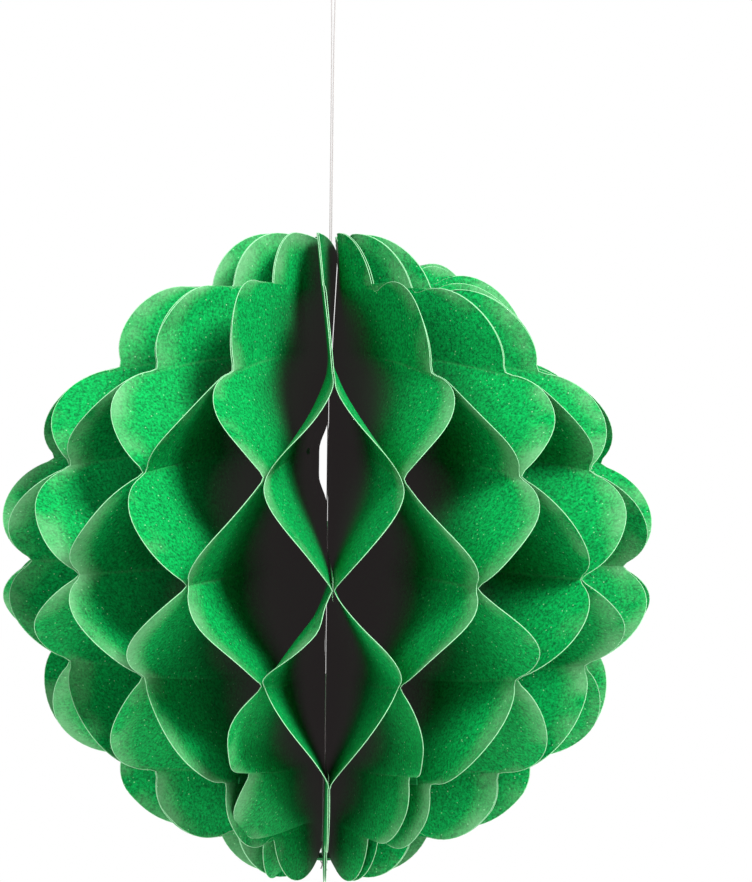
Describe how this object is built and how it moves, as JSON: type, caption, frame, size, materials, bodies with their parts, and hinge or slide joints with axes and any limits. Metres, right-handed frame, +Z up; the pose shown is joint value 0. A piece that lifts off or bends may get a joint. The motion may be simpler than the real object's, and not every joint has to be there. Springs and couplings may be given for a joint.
{
  "type": "paper honeycomb ball",
  "caption": "Hanging green paper honeycomb ball with scalloped leaves glued in rows, folding flat around its core, on a doubled thread with a loop",
  "frame": {"origin": "inside top of the thread's hanging loop, where it sits on a hook", "axes": "+Z up along the thread and the ball's axis, -Y towards the seam between the first and last leaf"},
  "size_m": [0.2022, 0.202, 0.2913],
  "materials": {
    "green_paper": "matt coloured paper with a fine grain, paler at the cut edges",
    "glue": "thin dried glue line",
    "adhesive_strip": "pale double-sided adhesive",
    "card": "plain card",
    "thread": "thin pale twisted thread"
  },
  "bodies": {
    "thread": {"hanging_thread": "thread", "bottom_knot": "thread"},
    "first_leaf": {"leaf_01": "green_paper", "glue_01": "glue", "closing_strips": "adhesive_strip", "card_washer": "card"},
    "leaf_02_body": {"leaf_02": "green_paper", "glue_02": "glue"},
    "leaf_03_body": {"leaf_03": "green_paper", "glue_03": "glue"},
    "leaf_04_body": {"leaf_04": "green_paper", "glue_04": "glue"},
    "leaf_05_body": {"leaf_05": "green_paper", "glue_05": "glue"},
    "leaf_06_body": {"leaf_06": "green_paper", "glue_06": "glue"},
    "leaf_07_body": {"leaf_07": "green_paper", "glue_07": "glue"},
    "leaf_08_body": {"leaf_08": "green_paper", "glue_08": "glue"},
    "leaf_09_body": {"leaf_09": "green_paper", "glue_09": "glue"},
    "leaf_10_body": {"leaf_10": "green_paper", "glue_10": "glue"},
    "leaf_11_body": {"leaf_11": "green_paper", "glue_11": "glue"},
    "leaf_12_body": {"leaf_12": "green_paper", "glue_12": "glue"},
    "leaf_13_body": {"leaf_13": "green_paper", "glue_13": "glue"},
    "leaf_14_body": {"leaf_14": "green_paper", "glue_14": "glue"},
    "leaf_15_body": {"leaf_15": "green_paper", "glue_15": "glue"},
    "leaf_16_body": {"leaf_16": "green_paper", "glue_16": "glue"},
    "leaf_17_body": {"leaf_17": "green_paper", "glue_17": "glue"},
    "leaf_18_body": {"leaf_18": "green_paper", "glue_18": "glue"},
    "leaf_19_body": {"leaf_19": "green_paper", "glue_19": "glue"},
    "leaf_20_body": {"leaf_20": "green_paper", "glue_20": "glue"},
    "leaf_21_body": {"leaf_21": "green_paper", "glue_21": "glue"},
    "leaf_22_body": {"leaf_22": "green_paper", "glue_22": "glue"},
    "leaf_23_body": {"leaf_23": "green_paper", "glue_23": "glue"},
    "leaf_24_body": {"leaf_24": "green_paper", "glue_24": "glue"},
    "leaf_25_body": {"leaf_25": "green_paper", "glue_25": "glue"},
    "leaf_26_body": {"leaf_26": "green_paper", "glue_26": "glue"},
    "leaf_27_body": {"leaf_27": "green_paper", "glue_27": "glue"},
    "leaf_28_body": {"leaf_28": "green_paper"}
  },
  "joints": [
    {"name": "thread_spin", "type": "hinge", "parent": "thread", "child": "first_leaf", "pos_m": [0, 0, -0.19], "axis": [0, 0, 1], "continuous": true},
    {"name": "fold_02", "type": "hinge", "parent": "first_leaf", "child": "leaf_02_body", "pos_m": [0.00074, -0.00211, -0.19], "axis": [0, 0, 1], "range_deg": [-12.86, 0], "deforming": ["leaf_01", "leaf_02"]},
    {"name": "fold_03", "type": "hinge", "parent": "leaf_02_body", "child": "leaf_03_body", "pos_m": [0.00119, -0.00189, -0.19], "axis": [0, 0, 1], "range_deg": [-12.86, 0], "deforming": ["leaf_03"]},
    {"name": "fold_04", "type": "hinge", "parent": "leaf_03_body", "child": "leaf_04_body", "pos_m": [0.00158, -0.00158, -0.19], "axis": [0, 0, 1], "range_deg": [-12.86, 0], "deforming": ["leaf_04"]},
    {"name": "fold_05", "type": "hinge", "parent": "leaf_04_body", "child": "leaf_05_body", "pos_m": [0.00189, -0.00119, -0.19], "axis": [0, 0, 1], "range_deg": [-12.86, 0], "deforming": ["leaf_05"]},
    {"name": "fold_06", "type": "hinge", "parent": "leaf_05_body", "child": "leaf_06_body", "pos_m": [0.00211, -0.00074, -0.19], "axis": [0, 0, 1], "range_deg": [-12.86, 0], "deforming": ["leaf_06"]},
    {"name": "fold_07", "type": "hinge", "parent": "leaf_06_body", "child": "leaf_07_body", "pos_m": [0.00222, -0.00025, -0.19], "axis": [0, 0, 1], "range_deg": [-12.86, 0], "deforming": ["leaf_07"]},
    {"name": "fold_08", "type": "hinge", "parent": "leaf_07_body", "child": "leaf_08_body", "pos_m": [0.00222, 0.00025, -0.19], "axis": [0, 0, 1], "range_deg": [-12.86, 0], "deforming": ["leaf_08"]},
    {"name": "fold_09", "type": "hinge", "parent": "leaf_08_body", "child": "leaf_09_body", "pos_m": [0.00211, 0.00074, -0.19], "axis": [0, 0, 1], "range_deg": [-12.86, 0], "deforming": ["leaf_09"]},
    {"name": "fold_10", "type": "hinge", "parent": "leaf_09_body", "child": "leaf_10_body", "pos_m": [0.00189, 0.00119, -0.19], "axis": [0, 0, 1], "range_deg": [-12.86, 0], "deforming": ["leaf_10"]},
    {"name": "fold_11", "type": "hinge", "parent": "leaf_10_body", "child": "leaf_11_body", "pos_m": [0.00158, 0.00158, -0.19], "axis": [0, 0, 1], "range_deg": [-12.86, 0], "deforming": ["leaf_11"]},
    {"name": "fold_12", "type": "hinge", "parent": "leaf_11_body", "child": "leaf_12_body", "pos_m": [0.00119, 0.00189, -0.19], "axis": [0, 0, 1], "range_deg": [-12.86, 0], "deforming": ["leaf_12"]},
    {"name": "fold_13", "type": "hinge", "parent": "leaf_12_body", "child": "leaf_13_body", "pos_m": [0.00074, 0.00211, -0.19], "axis": [0, 0, 1], "range_deg": [-12.86, 0], "deforming": ["leaf_13"]},
    {"name": "fold_14", "type": "hinge", "parent": "leaf_13_body", "child": "leaf_14_body", "pos_m": [0.00025, 0.00222, -0.19], "axis": [0, 0, 1], "range_deg": [-12.86, 0], "deforming": ["leaf_14"]},
    {"name": "fold_15", "type": "hinge", "parent": "leaf_14_body", "child": "leaf_15_body", "pos_m": [-0.00025, 0.00222, -0.19], "axis": [0, 0, 1], "range_deg": [-12.86, 0], "deforming": ["leaf_15"]},
    {"name": "fold_16", "type": "hinge", "parent": "leaf_15_body", "child": "leaf_16_body", "pos_m": [-0.00074, 0.00211, -0.19], "axis": [0, 0, 1], "range_deg": [-12.86, 0], "deforming": ["leaf_16"]},
    {"name": "fold_17", "type": "hinge", "parent": "leaf_16_body", "child": "leaf_17_body", "pos_m": [-0.00119, 0.00189, -0.19], "axis": [0, 0, 1], "range_deg": [-12.86, 0], "deforming": ["leaf_17"]},
    {"name": "fold_18", "type": "hinge", "parent": "leaf_17_body", "child": "leaf_18_body", "pos_m": [-0.00158, 0.00158, -0.19], "axis": [0, 0, 1], "range_deg": [-12.86, 0], "deforming": ["leaf_18"]},
    {"name": "fold_19", "type": "hinge", "parent": "leaf_18_body", "child": "leaf_19_body", "pos_m": [-0.00189, 0.00119, -0.19], "axis": [0, 0, 1], "range_deg": [-12.86, 0], "deforming": ["leaf_19"]},
    {"name": "fold_20", "type": "hinge", "parent": "leaf_19_body", "child": "leaf_20_body", "pos_m": [-0.00211, 0.00074, -0.19], "axis": [0, 0, 1], "range_deg": [-12.86, 0], "deforming": ["leaf_20"]},
    {"name": "fold_21", "type": "hinge", "parent": "leaf_20_body", "child": "leaf_21_body", "pos_m": [-0.00222, 0.00025, -0.19], "axis": [0, 0, 1], "range_deg": [-12.86, 0], "deforming": ["leaf_21"]},
    {"name": "fold_22", "type": "hinge", "parent": "leaf_21_body", "child": "leaf_22_body", "pos_m": [-0.00222, -0.00025, -0.19], "axis": [0, 0, 1], "range_deg": [-12.86, 0], "deforming": ["leaf_22"]},
    {"name": "fold_23", "type": "hinge", "parent": "leaf_22_body", "child": "leaf_23_body", "pos_m": [-0.00211, -0.00074, -0.19], "axis": [0, 0, 1], "range_deg": [-12.86, 0], "deforming": ["leaf_23"]},
    {"name": "fold_24", "type": "hinge", "parent": "leaf_23_body", "child": "leaf_24_body", "pos_m": [-0.00189, -0.00119, -0.19], "axis": [0, 0, 1], "range_deg": [-12.86, 0], "deforming": ["leaf_24"]},
    {"name": "fold_25", "type": "hinge", "parent": "leaf_24_body", "child": "leaf_25_body", "pos_m": [-0.00158, -0.00158, -0.19], "axis": [0, 0, 1], "range_deg": [-12.86, 0], "deforming": ["leaf_25"]},
    {"name": "fold_26", "type": "hinge", "parent": "leaf_25_body", "child": "leaf_26_body", "pos_m": [-0.00119, -0.00189, -0.19], "axis": [0, 0, 1], "range_deg": [-12.86, 0], "deforming": ["leaf_26"]},
    {"name": "fold_27", "type": "hinge", "parent": "leaf_26_body", "child": "leaf_27_body", "pos_m": [-0.00074, -0.00211, -0.19], "axis": [0, 0, 1], "range_deg": [-12.86, 0], "deforming": ["leaf_27"]},
    {"name": "fold_28", "type": "hinge", "parent": "leaf_27_body", "child": "leaf_28_body", "pos_m": [-0.00025, -0.00222, -0.19], "axis": [0, 0, 1], "range_deg": [-12.86, 0], "deforming": ["leaf_28"]}
  ],
  "couplings": [
    {"joint": "fold_03", "follows": "fold_02", "ratio": 1},
    {"joint": "fold_04", "follows": "fold_02", "ratio": 1},
    {"joint": "fold_05", "follows": "fold_02", "ratio": 1},
    {"joint": "fold_06", "follows": "fold_02", "ratio": 1},
    {"joint": "fold_07", "follows": "fold_02", "ratio": 1},
    {"joint": "fold_08", "follows": "fold_02", "ratio": 1},
    {"joint": "fold_09", "follows": "fold_02", "ratio": 1},
    {"joint": "fold_10", "follows": "fold_02", "ratio": 1},
    {"joint": "fold_11", "follows": "fold_02", "ratio": 1},
    {"joint": "fold_12", "follows": "fold_02", "ratio": 1},
    {"joint": "fold_13", "follows": "fold_02", "ratio": 1},
    {"joint": "fold_14", "follows": "fold_02", "ratio": 1},
    {"joint": "fold_15", "follows": "fold_02", "ratio": 1},
    {"joint": "fold_16", "follows": "fold_02", "ratio": 1},
    {"joint": "fold_17", "follows": "fold_02", "ratio": 1},
    {"joint": "fold_18", "follows": "fold_02", "ratio": 1},
    {"joint": "fold_19", "follows": "fold_02", "ratio": 1},
    {"joint": "fold_20", "follows": "fold_02", "ratio": 1},
    {"joint": "fold_21", "follows": "fold_02", "ratio": 1},
    {"joint": "fold_22", "follows": "fold_02", "ratio": 1},
    {"joint": "fold_23", "follows": "fold_02", "ratio": 1},
    {"joint": "fold_24", "follows": "fold_02", "ratio": 1},
    {"joint": "fold_25", "follows": "fold_02", "ratio": 1},
    {"joint": "fold_26", "follows": "fold_02", "ratio": 1},
    {"joint": "fold_27", "follows": "fold_02", "ratio": 1},
    {"joint": "fold_28", "follows": "fold_02", "ratio": 1}
  ]
}
